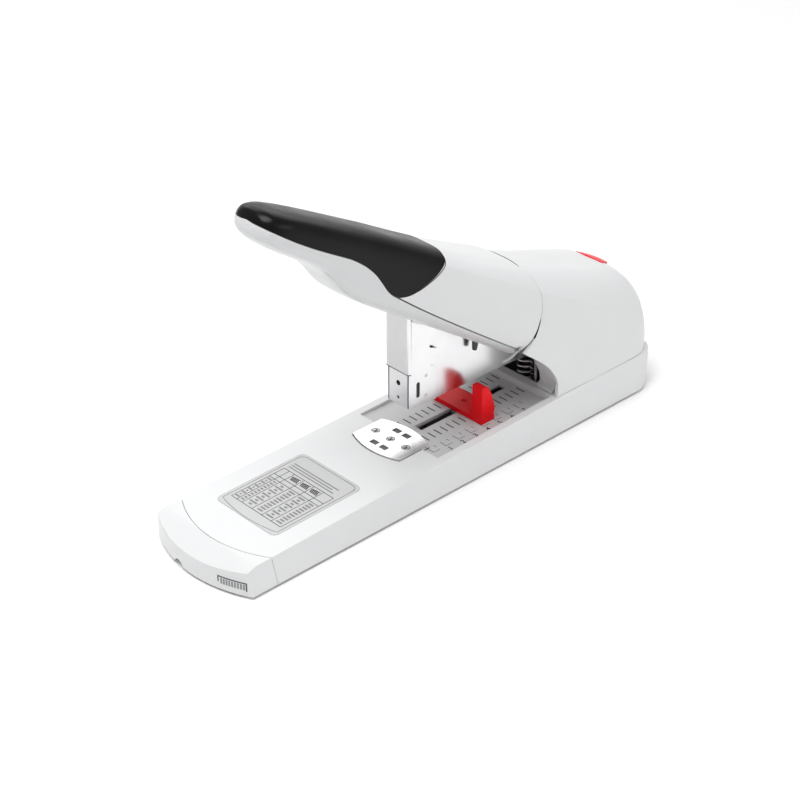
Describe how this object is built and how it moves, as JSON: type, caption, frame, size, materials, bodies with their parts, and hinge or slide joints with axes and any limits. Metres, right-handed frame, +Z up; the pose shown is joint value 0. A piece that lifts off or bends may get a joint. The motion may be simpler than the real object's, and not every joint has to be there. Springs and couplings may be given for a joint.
{
  "type": "heavy duty long deck stapler",
  "caption": "Heavy duty desk stapler with a raised lever handle, a deep deck with a printed depth scale, a sliding paper stop, a reserve staple drawer and a front-loading magazine",
  "frame": {"origin": "middle of the bounding box, on the plane of the rubber feet", "axes": "+Z up, +Y from the drawer end to the rear cover, +X to the side of the stop's finger block"},
  "size_m": [0.0826, 0.342, 0.1996],
  "materials": {
    "white_shell": "semi-gloss white",
    "light_shell": "semi-gloss light grey",
    "grey_plastic": "matte grey",
    "rubber": "matte",
    "grip_rubber": "satin black",
    "black_plastic": "matte black",
    "red_plastic": "glossy red",
    "screw_steel": "zinc plated",
    "frame_steel": "nickel plated sheet",
    "polished_steel": "polished",
    "wire_steel": "bright wire"
  },
  "bodies": {
    "base": {"base_housing": "white_shell", "base_bottom_plate": "grey_plastic", "rubber_feet": "rubber", "bottom_screws": "screw_steel", "drawer_rails": "grey_plastic", "spine_plate": "frame_steel", "anvil_block": "frame_steel", "anvil_plate": "polished_steel", "anvil_screws": "screw_steel", "scale_plate": "grey_plastic", "label_plate": "light_shell", "frame_left": "frame_steel", "frame_right": "frame_steel", "frame_screws": "screw_steel", "arm_pin": "screw_steel", "handle_pin": "screw_steel", "rear_cover": "white_shell", "throat_panel": "light_shell", "cover_posts": "grey_plastic", "button_guide": "grey_plastic", "arm_spring": "wire_steel", "handle_spring": "wire_steel", "button_spring": "wire_steel"},
    "stop": {"paper_stop": "red_plastic", "stop_shoe": "grey_plastic", "stop_screw": "screw_steel"},
    "drawer": {"drawer_front": "white_shell", "drawer_tray": "light_shell", "reserve_staples": "wire_steel"},
    "arm": {"arm_channel": "polished_steel", "head_housing": "polished_steel", "head_rivets": "screw_steel", "arm_bushes": "grey_plastic"},
    "magazine": {"magazine_channel": "frame_steel", "magazine_rail": "frame_steel", "magazine_end": "grey_plastic", "pusher_rod": "screw_steel", "staple_strip": "wire_steel", "pusher_spring": "wire_steel"},
    "pusher": {"staple_pusher": "red_plastic"},
    "driver": {"driver_carrier": "polished_steel", "driver_core": "grey_plastic", "driver_blade": "frame_steel", "driver_rivets": "screw_steel"},
    "handle": {"handle_cover": "white_shell", "handle_tray": "light_shell", "handle_core": "grey_plastic", "grip_pad": "grip_rubber", "lever_left": "frame_steel", "lever_right": "frame_steel", "drive_pin": "screw_steel", "drive_rollers": "screw_steel", "handle_screws": "screw_steel", "handle_heel": "grey_plastic", "lift_hook": "black_plastic"},
    "button": {"release_button": "red_plastic"}
  },
  "joints": [
    {"name": "handle_press", "type": "hinge", "parent": "base", "child": "handle", "pos_m": [0, 0.037, 0.089], "axis": [-1, 0, 0], "range_deg": [-33, 0], "stiffness_Nm_per_rad": 1.2, "springref_deg": 20.05, "deforming": ["handle_spring"]},
    {"name": "arm_swing", "type": "hinge", "parent": "base", "child": "arm", "pos_m": [0, 0.133, 0.038], "axis": [-1, 0, 0], "range_deg": [-8.2, 0.2], "deforming": ["arm_spring"]},
    {"name": "driver_stroke", "type": "slide", "parent": "arm", "child": "driver", "axis": [0, 0, 1], "range_m": [-0.0096, 0.0002]},
    {"name": "magazine_slide", "type": "slide", "parent": "arm", "child": "magazine", "axis": [0, -1, 0], "range_m": [0, 0.06]},
    {"name": "pusher_slide", "type": "slide", "parent": "magazine", "child": "pusher", "axis": [0, 1, 0], "range_m": [0, 0.024], "stiffness_N_per_m": 30, "springref_m": -0.02, "deforming": ["pusher_spring"]},
    {"name": "stop_slide", "type": "slide", "parent": "base", "child": "stop", "axis": [0, 1, 0], "range_m": [-0.02, 0.024]},
    {"name": "drawer_slide", "type": "slide", "parent": "base", "child": "drawer", "axis": [0, -1, 0], "range_m": [0, 0.06]},
    {"name": "button_press", "type": "slide", "parent": "base", "child": "button", "axis": [0, -0.4384, -0.8988], "range_m": [0, 0.003], "stiffness_N_per_m": 600, "springref_m": -0.001, "deforming": ["button_spring"]}
  ],
  "couplings": [
    {"joint": "arm_swing", "follows": "handle_press", "ratio": 0.23939},
    {"joint": "driver_stroke", "follows": "handle_press", "m_per_rad": 0.016321}
  ]
}
